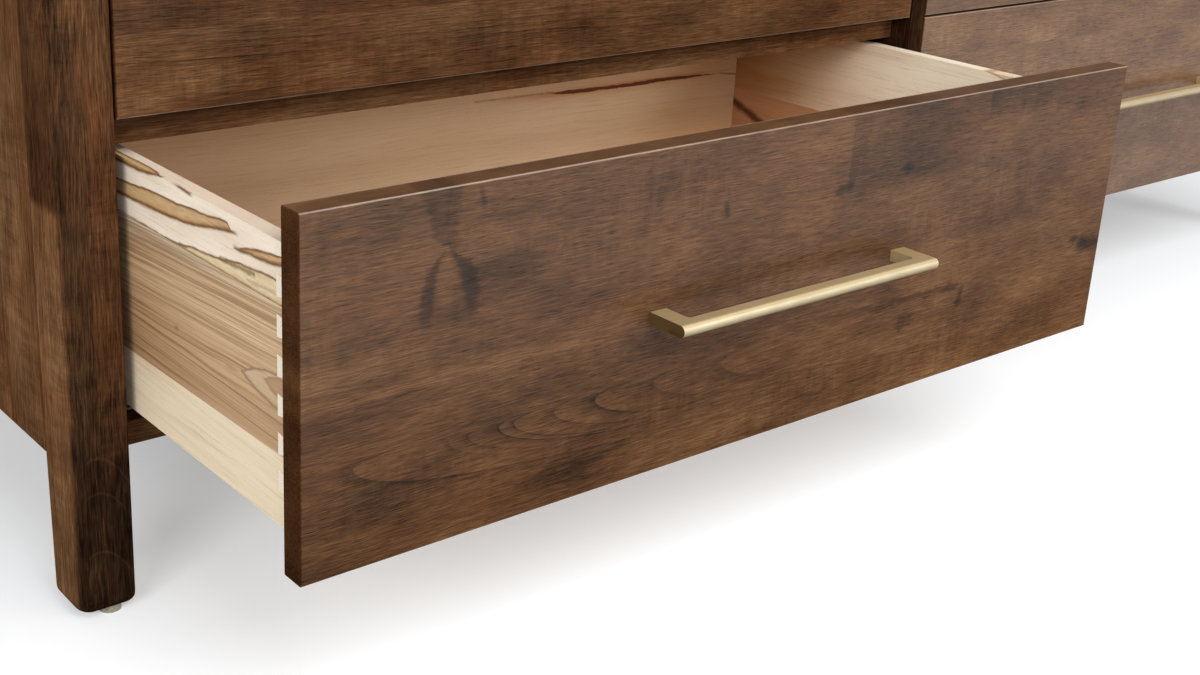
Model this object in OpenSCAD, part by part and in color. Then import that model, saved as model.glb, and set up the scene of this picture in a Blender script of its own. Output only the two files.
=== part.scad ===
// Dresser with six drawers in two columns, on corner posts that run down as legs.
// The bottom left drawer stands open. Front faces look along -Y, +Z is up, and the
// origin is the middle of the footprint on the floor, open drawer included.

/* [Case] */
// Width over the two side faces
case_w = 1676; // [1300:1:2000]
// Depth from the closed fronts to the back
case_d = 457; // [400:1:600]
// Thickness of the top panel
top_t = 22; // [16:1:40]
// Thickness of the side panels
side_t = 18; // [12:1:24]
// Thickness of the divider between the columns
divider_t = 18; // [12:1:30]
// Thickness of the bottom panel
bottom_t = 18; // [14:1:24]
// How far the case reaches below the bottom fronts
front_drop = 9; // [4:1:10]
// Thickness of the back panel
back_t = 6; // [4:0.5:10]
// Width of the rebate that the back posts give the back panel
back_lap = 10; // [6:1:16]

/* [Posts and feet] */
// Width of a post, seen from the front
post_w = 42; // [34:1:60]
// Depth of a post, seen from the side
post_d = 44; // [34:1:60]
// Rounding of a post's outer corner, at the front and at the back
post_r = 10; // [2:0.5:16]
// Rounding of a post's other outer edge, beside the side panel
post_inner_r = 1; // [0.5:0.5:12]
// Length of leg below the case
leg_h = 110; // [60:1:200]
// How much a leg narrows towards its foot, on the side that faces the other leg
leg_taper = 3; // [0:0.5:8]
// Rounding of the lower edges of a foot
foot_r = 7; // [2:0.5:8]
// Radius of a glide under a leg
glide_r = 8; // [6:0.5:13]
// Height of a glide
glide_h = 8; // [3:0.5:12]
// Distance from a glide's middle to the leg's inner face and to its front or back
glide_in = 14; // [13:0.5:17]
// Radius of a glide's threaded stem
stem_r = 4; // [3:0.5:6]
// Length of the stem inside the leg
stem_l = 24; // [15:1:40]
// Clearance around the stem in its hole
stem_gap = 0.1; // [0.05:0.05:0.3]

/* [Drawer fronts] */
// Height of a drawer front
front_h = 228; // [190:1:280]
// Thickness of a drawer front
front_t = 19; // [15:1:25]
// Gap around each front
front_gap = 2; // [1.5:0.5:4]
// Rounding of the front's outer edges
front_ease = 1.2; // [0.5:0.1:3]

/* [Drawer boxes] */
// Gap between a box and each side of its opening
box_gap = 9; // [6:0.5:14]
// Gap between the top of a box and the rail over it
box_top_gap = 6; // [2:0.5:12]
// Gap between a box and the panel or rail under it
box_floor_gap = 14; // [12.5:0.5:18]
// Gap between a closed box and the back panel
box_back_gap = 20; // [5:1:60]
// Thickness of the side boards
box_side_t = 12; // [10:0.5:16]
// Thickness of the front board behind the applied front
box_front_t = 18; // [12:0.5:22]
// Thickness of the back board
box_back_t = 12; // [10:0.5:18]
// Thickness of the bottom board
floor_t = 6; // [4:0.5:9]
// Height of the bottom board above the lower edge of the sides
floor_up = 12.5; // [11:0.5:13]
// Depth of the groove that holds the bottom board
groove_d = 6; // [4:0.5:8]
// Clearance around the bottom board in its groove
groove_gap = 0.1; // [0.05:0.05:0.4]

/* [Dovetails] */
// Width of a pin at its root
pin_w = 14; // [9:0.5:16]
// Distance from pin to pin
pin_pitch = 24.6; // [20:0.2:40]
// Height of the lowest pin's middle above the lower edge
pin_first = 29; // [28:1:40]
// Slope of the joint, one in this many
pin_slope = 7; // [5:1:9]
// Clearance around each pin in its socket
pin_gap = 0.1; // [0.05:0.05:0.2]

/* [Rails] */
// Thickness of a rail, front to back
rail_t = 20; // [14:1:30]
// Gap between the fronts and the rails behind them
rail_back = 3; // [2:0.5:6]
// How far a rail reaches down behind the front under it
rail_drop = 20; // [12:1:34]
// Height of the supports that carry the runners at the side panels
support_h = 45; // [30:1:70]

/* [Runners] */
// Thickness of the runners' sheet steel
steel_t = 1.5; // [1:0.1:2]
// Height of the flange that is screwed to the case
flange_h = 28; // [20:1:40]
// Distance from the box's side board to the drawer member
member_in = 3.4; // [2:0.2:6]
// Width of the case member's rail
rail_w = 11.4; // [10:0.2:16]
// Sideways clearance between the two members
member_gap = 0.7; // [0.4:0.1:1.2]
// Clearance under the drawer member, over the rail that carries it
carry_gap = 0.3; // [0.2:0.05:0.5]
// Gap between the closed box front and the case member behind it
member_lead = 0.5; // [0.5:0.5:4]
// Gap between the case member and the rail or panel under it
runner_gap = 1; // [0.5:0.5:1.5]
// Gap between the web of the case member and the folded edges over it
fold_gap = 3; // [2:0.5:5]

/* [Pulls] */
// Length of a pull
pull_l = 256; // [120:1:400]
// Height of a pull
pull_h = 8.4; // [6:0.2:14]
// Distance that a pull stands out from its front
pull_out = 33; // [25:0.5:45]
// Depth of the bar, nose included
pull_bar = 11.5; // [9:0.5:16]
// Width of each foot
pull_foot = 14.5; // [9:0.5:20]
// Rounding inside the corners of the pull
pull_inner_r = 3; // [1:0.5:5]

/* [Pose] */
// How far the bottom left drawer stands open
open_d = 224; // [0:1:300]

/* [Hidden] */
$fn = 48;
ROWS = ["bottom", "middle", "top"];
COLUMNS = ["left", "right"];
CASE_NODES = [
    "top_panel", "side_panel_left", "side_panel_right", "back_panel", "bottom_panel",
    "divider", "post_front_left", "post_front_right", "post_back_left", "post_back_right",
    "middle_rails", "top_rails", "runner_supports", "case_runners", "glides"
];
DRAWER_PARTS = [
    "front", "box_front", "box_sides", "box_back", "box_bottom", "drawer_runners", "pull"
];

walnut = "#6b4a35";
walnut_dark = "#4a3226";
maple = "#cdb086";
maple_pale = "#ddc8a2";
steel = "#b4b7ba";
brass = "#c9b277";

case_z = glide_h + leg_h;
row_z = [for (row = [0:len(ROWS) - 1]) case_z + front_drop + row * (front_h + front_gap)];
top_z = row_z[len(ROWS) - 1] + front_h + front_gap;
front_y = (open_d + pull_out - case_d) / 2;
back_y = case_d - back_t;
rail_y = front_t + rail_back;
rail_rise = bottom_t - front_drop;

opening_w = (case_w - divider_t) / 2 - post_w;
opening_x = (divider_t + opening_w) / 2;
front_w = opening_w - 2 * front_gap;

box_w = opening_w - 2 * box_gap;
box_l = back_y - front_t - box_back_gap;
box_up = rail_rise + box_floor_gap;
box_h = front_h - rail_drop - box_top_gap - box_up;
inner_w = box_w - 2 * box_side_t;
pin_count = floor((box_h - pin_first) / pin_pitch) + 1;

member_x = box_gap + box_side_t + member_in;
rail_x = member_x + steel_t + member_gap;
member_w = 2 * (steel_t + member_gap) + rail_w;
runner_z = rail_rise + runner_gap;
fold_z = runner_z + steel_t + fold_gap;
member_top = box_up + floor_up;
member_y = front_t + box_front_t;
member_end = front_t + box_l;
cut = 1;

// Moves what is drawn from the front plane to its place over the origin
module placed() {
    translate([0, front_y, 0]) children();
}

// Board from its lowest corner, the length along X, Y and Z
module board(from, to) {
    translate(from) cube(to - from);
}

// Square from the origin with two of its corners rounded: the one at the origin, and
// the one at the end of the Y side
module post_outline(w, d, r_front, r_side) {
    difference() {
        square([w, d]);
        difference() {
            translate([-cut, -cut]) square(r_front + cut);
            translate([r_front, r_front]) circle(r_front);
        }
        difference() {
            translate([-cut, d - r_side]) square(r_side + cut);
            translate([r_side, d - r_side]) circle(r_side);
        }
    }
}

// Rectangle in the first quadrant with all corners rounded
module rounded_rectangle(w, d, r) {
    translate([r, 0]) square([w - 2 * r, d]);
    translate([0, r]) square([w, d - 2 * r]);
    for (x = [r, w - r], y = [r, d - r]) translate([x, y]) circle(r);
}

// Draws what is meant for the left also on the right
module both_sides() {
    children();
    mirror([1, 0, 0]) children();
}

// Elevation of a post d wide, narrowed by a taper at its foot, the foot's corners rounded
module post_elevation(d, taper) {
    foot = d - taper;
    polygon([
        [foot_r, 0], [foot - foot_r, 0], [foot, foot_r], [d, leg_h],
        [d, top_z - glide_h], [0, top_z - glide_h], [0, foot_r]
    ]);
    for (x = [foot_r, foot - foot_r]) translate([x, foot_r]) circle(foot_r);
}

// Front left post, standing on its glide
module post() {
    difference() {
        translate([-case_w / 2, 0, glide_h]) intersection() {
            linear_extrude(top_z - glide_h)
                post_outline(post_w, post_d, post_r, post_inner_r);
            rotate([90, 0, 90]) linear_extrude(post_w) post_elevation(post_d, leg_taper);
            translate([0, post_d, 0]) rotate([90, 0, 0]) linear_extrude(post_d)
                post_elevation(post_w, 0);
        }
        glide_place() cylinder(r = stem_r + stem_gap, h = glide_h + stem_l + stem_gap);
    }
}

// Back left post, with the rebate that takes the back panel
module back_post() {
    difference() {
        translate([0, case_d, 0]) mirror([0, 1, 0]) post();
        board([-case_w / 2 + post_w - back_lap, back_y, case_z],
            [-case_w / 2 + post_w + cut, case_d + cut, top_z + cut]);
    }
}

// Place of the glide under the front left leg, on the floor
module glide_place() {
    translate([-case_w / 2 + post_w - glide_in, glide_in, 0]) children();
}

module glide() {
    glide_place() {
        cylinder(r = glide_r, h = glide_h);
        cylinder(r = stem_r, h = glide_h + stem_l);
    }
}

module post_front_left() {
    color(walnut_dark) placed() post();
}

module post_front_right() {
    color(walnut_dark) placed() mirror([1, 0, 0]) post();
}

module post_back_left() {
    color(walnut_dark) placed() back_post();
}

module post_back_right() {
    color(walnut_dark) placed() mirror([1, 0, 0]) back_post();
}

module glides() {
    color(steel) placed() both_sides() {
        glide();
        translate([0, case_d, 0]) mirror([0, 1, 0]) glide();
    }
}

// Top panel, its corners rounded like the posts and its upper edges eased
module top_panel() {
    color(walnut) placed() intersection() {
        translate([-case_w / 2, 0, top_z]) linear_extrude(top_t)
            rounded_rectangle(case_w, case_d, post_r);
        translate([-case_w / 2, 0, top_z - front_ease]) rotate([90, 0, 90])
            linear_extrude(case_w) rounded_rectangle(case_d, top_t + front_ease, front_ease);
        translate([-case_w / 2, case_d, top_z - front_ease]) rotate([90, 0, 0])
            linear_extrude(case_d) rounded_rectangle(case_w, top_t + front_ease, front_ease);
    }
}

module side_panel() {
    board([-case_w / 2, post_d, case_z], [-case_w / 2 + side_t, case_d - post_d, top_z]);
}

module side_panel_left() {
    color(walnut) placed() side_panel();
}

module side_panel_right() {
    color(walnut) placed() mirror([1, 0, 0]) side_panel();
}

module back_panel() {
    half_w = case_w / 2 - post_w + back_lap;
    color(maple) placed() board([-half_w, back_y, case_z], [half_w, case_d, top_z]);
}

// Bottom panel between the side panels, notched around the posts
module bottom_panel() {
    color(walnut_dark) placed() difference() {
        board([-case_w / 2 + side_t, rail_y, case_z],
            [case_w / 2 - side_t, back_y, case_z + bottom_t]);
        both_sides() {
            board([-case_w / 2, 0, case_z - cut],
                [-case_w / 2 + post_w, post_d, case_z + bottom_t + cut]);
            board([-case_w / 2, case_d - post_d, case_z - cut],
                [-case_w / 2 + post_w, case_d, case_z + bottom_t + cut]);
        }
    }
}

// Divider, with a tongue at the front that covers the bottom panel's edge
module divider() {
    color(walnut_dark) placed() translate([-divider_t / 2, 0, 0]) rotate([90, 0, 90])
        linear_extrude(divider_t) polygon([
            [0, case_z], [rail_y, case_z], [rail_y, case_z + bottom_t],
            [back_y, case_z + bottom_t], [back_y, top_z], [0, top_z]
        ]);
}

// Rail across the left opening, between two heights
module rail(low, high) {
    board([-opening_x - opening_w / 2, rail_y, low],
        [-opening_x + opening_w / 2, rail_y + rail_t, high]);
}

// Rails between the rows, behind the gap from front to front
module middle_rails() {
    color(walnut_dark) placed() both_sides() for (row = [0:len(ROWS) - 2])
        rail(row_z[row] + front_h - rail_drop, row_z[row + 1] + rail_rise);
}

module top_rails() {
    color(walnut_dark) placed() both_sides() rail(top_z - front_gap - rail_drop, top_z);
}

// Supports that bring the runners out from the side panels to the posts' inner faces
module runner_supports() {
    color(maple) placed() both_sides() for (z = row_z)
        board([-case_w / 2 + side_t, post_d, z + rail_rise],
            [-case_w / 2 + post_w, case_d - post_d, z + rail_rise + support_h]);
}

// Section of the case member at the left of an opening, X from the opening's side and
// Y up: flange, web under the box, and the folded rail that the drawer member rides on
module case_runner_section() {
    rail_top = member_top - steel_t - carry_gap;
    polygon([
        [0, runner_z], [rail_x + rail_w, runner_z], [rail_x + rail_w, rail_top],
        [rail_x, rail_top], [rail_x, fold_z], [rail_x + steel_t, fold_z],
        [rail_x + steel_t, rail_top - steel_t],
        [rail_x + rail_w - steel_t, rail_top - steel_t],
        [rail_x + rail_w - steel_t, runner_z + steel_t], [steel_t, runner_z + steel_t],
        [steel_t, runner_z + flange_h], [0, runner_z + flange_h]
    ]);
}

// Section of the drawer member: a channel over the rail, open downwards
module drawer_runner_section() {
    translate([member_x, 0]) difference() {
        translate([0, fold_z]) square([member_w, member_top - fold_z]);
        translate([steel_t, fold_z - cut])
            square([member_w - 2 * steel_t, member_top - fold_z - steel_t + cut]);
    }
}

// Draws a runner's section at both sides of an opening whose middle is X = 0
module runner_pair(from_y, to_y) {
    both_sides() translate([-opening_w / 2, to_y, 0]) rotate([90, 0, 0])
        linear_extrude(to_y - from_y) children();
}

module case_runners() {
    color(steel) placed() both_sides() for (z = row_z)
        translate([-opening_x, 0, z]) runner_pair(member_y + member_lead, member_end)
            case_runner_section();
}

// Moves a drawer's part, drawn for an opening at X = 0 and a front edge at Z = 0
module in_drawer(row, column) {
    opened = row == 0 && column == 0 ? open_d : 0;
    placed() translate([column == 0 ? -opening_x : opening_x, -opened, row_z[row]]) children();
}

// Applied front with the four edges of its face eased
module front() {
    color(walnut) intersection() {
        translate([-front_w / 2, 0, 0]) linear_extrude(front_h)
            rounded_rectangle(front_w, front_t + front_ease, front_ease);
        translate([-front_w / 2, 0, 0]) rotate([90, 0, 90]) linear_extrude(front_w)
            rounded_rectangle(front_t + front_ease, front_h, front_ease);
        board([-front_w / 2, 0, 0], [front_w / 2, front_t, front_h]);
    }
}

// Moves a box's part: Y = 0 at the box's front end, Z = 0 at its lower edge
module in_box() {
    translate([0, front_t, box_up]) children();
}

// Pins at the left end of a board that is t thick, wider on the inner side. grow is
// what a socket has over the pin in it.
module pins(t, grow) {
    tip = pin_w / 2 - t / pin_slope;
    root = pin_w / 2;
    intersection() {
        for (i = [0:pin_count - 1])
            translate([-box_w / 2, 0, pin_first + i * pin_pitch]) rotate([90, 0, 90])
                linear_extrude(box_side_t) polygon([
                    [0, -tip - grow], [t + grow, -root - grow],
                    [t + grow, root + grow], [0, tip + grow]
                ]);
        board([-box_w / 2, 0, 0], [0, t + grow, box_h]);
    }
}

// Space that the bottom board needs, with what is given around it
module floor_space(grow) {
    board([-inner_w / 2 - groove_d, box_front_t - groove_d, floor_up] - [grow, grow, grow],
        [inner_w / 2 + groove_d, box_l - box_back_t + groove_d, floor_up + floor_t]
            + [grow, grow, grow]);
}

module box_front() {
    color(maple_pale) in_box() difference() {
        union() {
            board([-inner_w / 2, 0, 0], [inner_w / 2, box_front_t, box_h]);
            both_sides() pins(box_front_t, 0);
        }
        floor_space(groove_gap);
    }
}

// Side board with tails at both ends, its sockets taken from the pins
module box_side() {
    difference() {
        board([-box_w / 2, 0, 0], [-inner_w / 2, box_l, box_h]);
        pins(box_front_t, pin_gap);
        translate([0, box_l, 0]) mirror([0, 1, 0]) pins(box_back_t, pin_gap);
        floor_space(groove_gap);
    }
}

module box_sides() {
    color(maple) in_box() both_sides() box_side();
}

// Back board, notched at its lower corners for the runners
module box_back() {
    notch_x = inner_w / 2 - member_in - member_w - member_in;
    color(maple_pale) in_box() difference() {
        union() {
            board([-inner_w / 2, box_l - box_back_t, 0], [inner_w / 2, box_l, box_h]);
            both_sides() translate([0, box_l, 0]) mirror([0, 1, 0]) pins(box_back_t, 0);
        }
        both_sides() board([-inner_w / 2 - cut, box_l - box_back_t - cut, -cut],
            [-notch_x, box_l + cut, floor_up]);
        floor_space(groove_gap);
    }
}

module box_bottom() {
    color(maple) in_box() floor_space(0);
}

module drawer_runners() {
    color(steel) runner_pair(member_y, member_end) drawer_runner_section();
}

// Pull in the middle of its front: a bar with a half round nose, on two feet
module pull() {
    nose = pull_h / 2;
    color(brass) translate([-pull_l / 2, -pull_out, (front_h - pull_h) / 2]) intersection() {
        linear_extrude(pull_h) difference() {
            square([pull_l, pull_out]);
            translate([pull_foot, pull_bar])
                rounded_rectangle(pull_l - 2 * pull_foot, pull_out, pull_inner_r);
        }
        rotate([90, 0, 90]) linear_extrude(pull_l) {
            translate([nose, 0]) square([pull_out - nose, pull_h]);
            translate([nose, nose]) circle(nose);
        }
    }
}

top_panel();
side_panel_left();
side_panel_right();
back_panel();
bottom_panel();
divider();
post_front_left();
post_front_right();
post_back_left();
post_back_right();
middle_rails();
top_rails();
runner_supports();
case_runners();
glides();
for (r = [0:len(ROWS) - 1], c = [0:len(COLUMNS) - 1]) {
    drawer = str(ROWS[r], "_", COLUMNS[c]);
    in_drawer(r, c) front();
    in_drawer(r, c) box_front();
    in_drawer(r, c) box_sides();
    in_drawer(r, c) box_back();
    in_drawer(r, c) box_bottom();
    in_drawer(r, c) drawer_runners();
    in_drawer(r, c) pull();
}
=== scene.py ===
"""Dresser of walnut-stained maple, its bottom left drawer open: finishes, front posts with
rolled feet, screws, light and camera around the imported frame. Metres, front towards -Y, Z up."""

import math

import bpy
import numpy as np
from mathutils import Matrix, Vector


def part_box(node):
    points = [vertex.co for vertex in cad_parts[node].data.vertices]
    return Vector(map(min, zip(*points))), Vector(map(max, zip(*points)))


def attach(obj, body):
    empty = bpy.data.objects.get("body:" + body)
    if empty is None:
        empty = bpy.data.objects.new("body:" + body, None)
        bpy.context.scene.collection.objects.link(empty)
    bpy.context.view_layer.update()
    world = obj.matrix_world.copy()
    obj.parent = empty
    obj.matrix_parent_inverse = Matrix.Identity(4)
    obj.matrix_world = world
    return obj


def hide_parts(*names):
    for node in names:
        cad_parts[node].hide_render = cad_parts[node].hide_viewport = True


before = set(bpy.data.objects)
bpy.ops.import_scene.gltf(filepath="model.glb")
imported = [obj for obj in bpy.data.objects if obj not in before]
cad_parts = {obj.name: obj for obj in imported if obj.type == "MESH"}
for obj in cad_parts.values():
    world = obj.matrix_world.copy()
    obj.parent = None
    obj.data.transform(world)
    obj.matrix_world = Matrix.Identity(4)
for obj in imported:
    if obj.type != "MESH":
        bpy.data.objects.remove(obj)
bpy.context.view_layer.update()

MM = 0.001
ROWS = ("bottom", "middle", "top")
COLUMNS = ("left", "right")
OPEN_DRAWER = "bottom_left"
AXES = "xyz"

# Half the width and height of the open drawer's front and of its box's back board, and the
# radius of a glide, in millimetres as the finishes use them
FRONT_HALF = (391.5, 114.0)
BACK_HALF = (384.5, 89.5)
GLIDE_RADIUS = 8.0

# Front posts: height and narrowing of the leg, the foot's roll and how far it reaches under the
# packed post's end, the radii of the upright corners, and the steps in a quarter circle
LEG_HEIGHT, LEG_TAPER, FOOT_ROLL, FOOT_DROP = 0.110, 0.003, 0.012, 0.004
OUTER_CORNER, INNER_CORNER, LEAST_CORNER = 0.013, 0.0015, 0.0004
QUARTER = 9

# Screws: radius of a head and spokes round it, then where the pull's, the applied front's and
# the bottom panel's are
SCREW_RADIUS, SPOKES = 0.0042, 16
PULL_SCREWS_X = (-0.12075, 0.12075)
FRONT_SCREWS_X, FRONT_SCREWS_Z = (-0.3, 0.3), (0.055, 0.130)
BOTTOM_SCREWS_X, BOTTOM_SCREWS_Y = np.linspace(-0.72, 0.72, 7), (-0.066, 0.33)

# Camera: where it stands, the point it looks at, how far it leans, and its lens
CAMERA_AT = (-1.2134, -1.0326, 0.6146)
CAMERA_TO = (-0.6545, -0.3240, 0.2935)
CAMERA_ROLL = 2.21
LENS, SENSOR = 48.14, 36.0
SHIFT = (0.0818, -0.0512)
CLIP = (0.05, 60.0)

# Light: strength of the sky, the floor's colour, own light and half its width, and three lamps
SKY = 0.34
FLOOR_COLOUR, FLOOR_GLOW, FLOOR_HALF = (0.69, 0.705, 0.725, 1.0), 0.36, 30.0
LAMPS = {
    "left": {"at": (-3.1, -1.9, 1.5), "to": (-0.8, -0.2, 0.3), "size": (1.4, 1.4), "watts": 62.0},
    "front": {"at": (1.3, -2.9, 1.25), "to": (-0.3, -0.3, 0.2), "size": (1.0, 0.8), "watts": 37.0},
    "top": {"at": (-0.3, -2.3, 2.5), "to": (-0.3, -0.4, 0.0), "size": (3.0, 1.6), "watts": 84.0},
}


def tone(red, green, blue):
    """Colour written as a screen colour from 0 to 255, turned into the shader's linear values."""
    linear = [
        (c / 255 / 12.92) if c / 255 <= 0.04045 else ((c / 255 + 0.055) / 1.055) ** 2.4
        for c in (red, green, blue)
    ]
    return (*linear, 1.0)


class Wire:
    """An output of a material's nodes. Sums, products and quotients of it add Math nodes."""

    def __init__(self, finish, socket):
        self.finish, self.socket = finish, socket

    def math(self, operation, *terms):
        return self.finish.node("Math", {"operation": operation}, dict(enumerate(terms)))

    def __add__(self, other):
        return self.math("ADD", self, other)

    def __sub__(self, other):
        return self.math("SUBTRACT", self, other)

    def __rsub__(self, other):
        return self.math("SUBTRACT", other, self)

    def __mul__(self, other):
        return self.math("MULTIPLY", self, other)

    def __truediv__(self, other):
        return self.math("DIVIDE", self, other)

    def __neg__(self):
        return self.math("MULTIPLY", self, -1.0)

    def __abs__(self):
        return self.math("ABSOLUTE", self)

    __radd__ = __add__
    __rmul__ = __mul__

    def root(self):
        return self.math("SQRT", self)

    def part(self):
        return self.math("FRACT", self)

    def whole(self):
        return self.math("FLOOR", self)

    def least(self, other):
        return self.math("MINIMUM", self, other)

    def most(self, other):
        return self.math("MAXIMUM", self, other)

    def above(self, other):
        return self.math("GREATER_THAN", self, other)

    def rise(self, low, high):
        """Smooth step: 0 up to low, 1 from high on. With low over high it falls instead."""
        return self.finish.node(
            "MapRange",
            {"interpolation_type": "SMOOTHSTEP"},
            {"Value": self, "From Min": low, "From Max": high},
        )

    def hill(self, middle, width):
        """1 at the middle and 0 from width away on, smooth."""
        return abs(self - middle).rise(width, 0.0)


class Finish:
    """One material, with a Principled shader that done() fills."""

    def __init__(self, name):
        self.material = bpy.data.materials.new(name)
        self.material.use_nodes = True
        self.tree = self.material.node_tree
        self.tree.nodes.clear()

    def node(self, kind, settings=None, inputs=None, output=0):
        """Adds a node: its type, its settings first, then its sockets' values or links."""
        made = self.tree.nodes.new("ShaderNode" + kind)
        for name, value in (settings or {}).items():
            if name == "stops":
                ramp = made.color_ramp.elements
                while len(ramp) < len(value):
                    ramp.new(0.5)
                for element, (place, colour) in zip(ramp, value):
                    element.position, element.color = place, colour
            elif name == "curve":
                line = made.mapping.curves[0].points
                while len(line) < len(value):
                    line.new(0.5, 0.5)
                for point, place in zip(line, value):
                    point.location = place
                made.mapping.update()
            else:
                setattr(made, name, value)
        for key, value in (inputs or {}).items():
            if isinstance(value, Wire):
                self.tree.links.new(value.socket, made.inputs[key])
            else:
                made.inputs[key].default_value = value
        return Wire(self, made.outputs[output]) if len(made.outputs) else None

    def place(self, middle, order):
        """Object coordinates in millimetres from a middle: along the grain, across, through."""
        at = self.node("TexCoord", output=3)
        split = self.node("SeparateXYZ", None, {0: at}).socket.node
        return [
            (Wire(self, split.outputs[AXES.index(axis)]) - middle[AXES.index(axis)]) * 1000.0
            for axis in order
        ]

    def vector(self, u, v, w):
        return self.node("CombineXYZ", None, {0: u, 1: v, 2: w})

    def cloud(self, u, v, w, detail=2.0, rough=0.5):
        """Noise about zero, from -0.5 to 0.5. Its sizes are set by what u, v, w are divided by."""
        made = self.node(
            "TexNoise",
            None,
            {"Vector": self.vector(u, v, w), "Scale": 1.0, "Detail": detail, "Roughness": rough},
        )
        return made - 0.5

    def chance(self, number):
        """A value from -0.5 to 0.5 that is the same for the same whole number."""
        return self.node("TexWhiteNoise", {"noise_dimensions": "1D"}, {"W": number}) - 0.5

    def blend(self, low, high, share, how="MIX"):
        """Colours, mixed by a share from 0 to 1."""
        return self.node(
            "Mix", {"data_type": "RGBA", "blend_type": how}, {0: share, 6: low, 7: high}, output=2
        )

    def ramp(self, value, *stops):
        return self.node("ValToRGB", {"stops": stops}, {0: value})

    def curve(self, value, points, span):
        """A line through points, as a function of value from 0 to span; both in millimetres."""
        scaled = [(x / span, y / span) for x, y in points]
        made = self.node("FloatCurve", {"curve": scaled}, {"Factor": 1.0, "Value": value / span})
        return made * span

    def done(self, colour, rough, height, depth, **others):
        """Ends the material: colour, roughness, a height for the bump in units of depth, and
        what else the shader's sockets take."""
        bump = self.node("Bump", None, {"Strength": 1.0, "Distance": depth, "Height": height})
        inputs = {"Base Color": colour, "Roughness": rough, "Normal": bump, **others}
        shader = self.node("BsdfPrincipled", None, inputs)
        self.node("OutputMaterial", None, {"Surface": shader})
        return self.material


def middle_of(node):
    """Middle of a CAD node's box, in metres."""
    low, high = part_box(node)
    return (low + high) / 2


def halves_of(node, order):
    """Half sizes of a CAD node's box in millimetres, in the order of a finish's axes."""
    low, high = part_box(node)
    return [(high - low)[AXES.index(axis)] / 2 / MM for axis in order]


def growth(f, u, v, w, heart, taper, pitch, seed, rings=None):
    """Growth rings as cones round the pith: the distance from it, less a taper along the grain,
    counted by the pitch or by a function, rings. Each ring darkens to a thin line at its end,
    some more than others. Returns how dark the wood is there, from 0 to about 1."""
    reach = ((v - heart[0]) * (v - heart[0]) + (w - heart[1]) * (w - heart[1])).root() - u * taper
    uneven = f.cloud(reach / (pitch * 4.5) + seed, u / 600, 0.0, 1.0) * 3.0
    count = reach / pitch + uneven
    if rings:
        count = rings(f, reach, v, count)
    phase = count.part()
    bold = f.chance(count.whole() + seed * 31.0) * 0.8 + 0.6
    return (phase.rise(0.8, 0.0) * 0.5 + phase.rise(0.16, 0.03) * 0.5) * bold


def spot(f, u, v, at, size, ragged):
    """1 inside an oval patch, fading to 0 at its ragged rim."""
    du, dv = (u - at[0]) / size[0], (v - at[1]) / size[1]
    rim = f.cloud(u / (size[0] * 0.7) + at[0], v / (size[1] * 0.7), at[1], 2.0) * ragged
    return ((du * du + dv * dv).root() + rim).rise(1.0, 0.25)


def stroke(f, u, v, start, end, width, ragged):
    """1 along a line from start to end, fading to 0 at its width, as a brush mark does."""
    run = (end[0] - start[0], end[1] - start[1])
    square = run[0] ** 2 + run[1] ** 2
    share = ((u - start[0]) * run[0] + (v - start[1]) * run[1]) / square
    share = share.most(0.0).least(1.0)
    du, dv = u - start[0] - share * run[0], v - start[1] - share * run[1]
    rim = f.cloud(u / (width * 1.5) + start[0], v / (width * 1.5), start[1], 2.0) * ragged
    return ((du * du + dv * dv).root() / width + rim).rise(1.0, 0.1)


def between(f, at, value, low, high, span, soft):
    """1 where value lies between two lines given by points along at, with soft edges inside."""
    low_edge, high_edge = f.curve(at, low, span), f.curve(at, high, span)
    return (value - low_edge).rise(0.0, soft) * (high_edge - value).rise(0.0, soft)


# Stained maple: its middle value, and how much each layer of the grain adds to it or takes off
STAIN = 0.57
BLOTCH, CURL, VEIN, FIBRE = 0.60, 0.46, 0.14, 1.08
LUCK, DASH, LINE = 0.10, 0.11, 0.20
STAIN_TONES = (
    (0.0, tone(20, 13, 9)),
    (0.25, tone(50, 34, 22)),
    (0.5, tone(81, 55, 35)),
    (0.72, tone(106, 76, 50)),
    (1.0, tone(142, 109, 78)),
)
COAT_ROUGHNESS, COAT_IOR = 0.30, 1.6


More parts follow.
